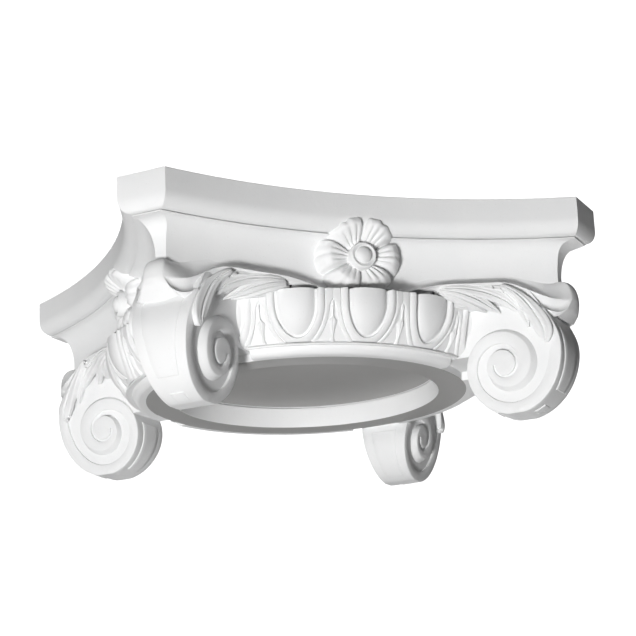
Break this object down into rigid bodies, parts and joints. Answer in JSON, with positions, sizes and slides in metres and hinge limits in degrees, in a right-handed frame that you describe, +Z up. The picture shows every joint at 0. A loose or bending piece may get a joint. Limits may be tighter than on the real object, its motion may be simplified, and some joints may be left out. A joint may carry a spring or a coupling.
{
  "type": "ionic capital",
  "caption": "Angular Ionic column capital with a concave-sided abacus, diagonal scrolls, egg-and-dart ring and rosettes, cast in one white piece to sit on a round shaft.",
  "frame": {"origin": "on the vertical centre line of the shaft socket, level with the scrolls' feet", "axes": "+Z up along the shaft's axis; -Y and +Y, -X and +X face the middles of the four equal sides; the scrolls lie on the diagonals"},
  "size_m": [0.44, 0.44, 0.185],
  "materials": {
    "cast_white": "smooth primed white casting, soft satin"
  },
  "bodies": {
    "root": {"capital": "cast_white"}
  },
  "joints": []
}
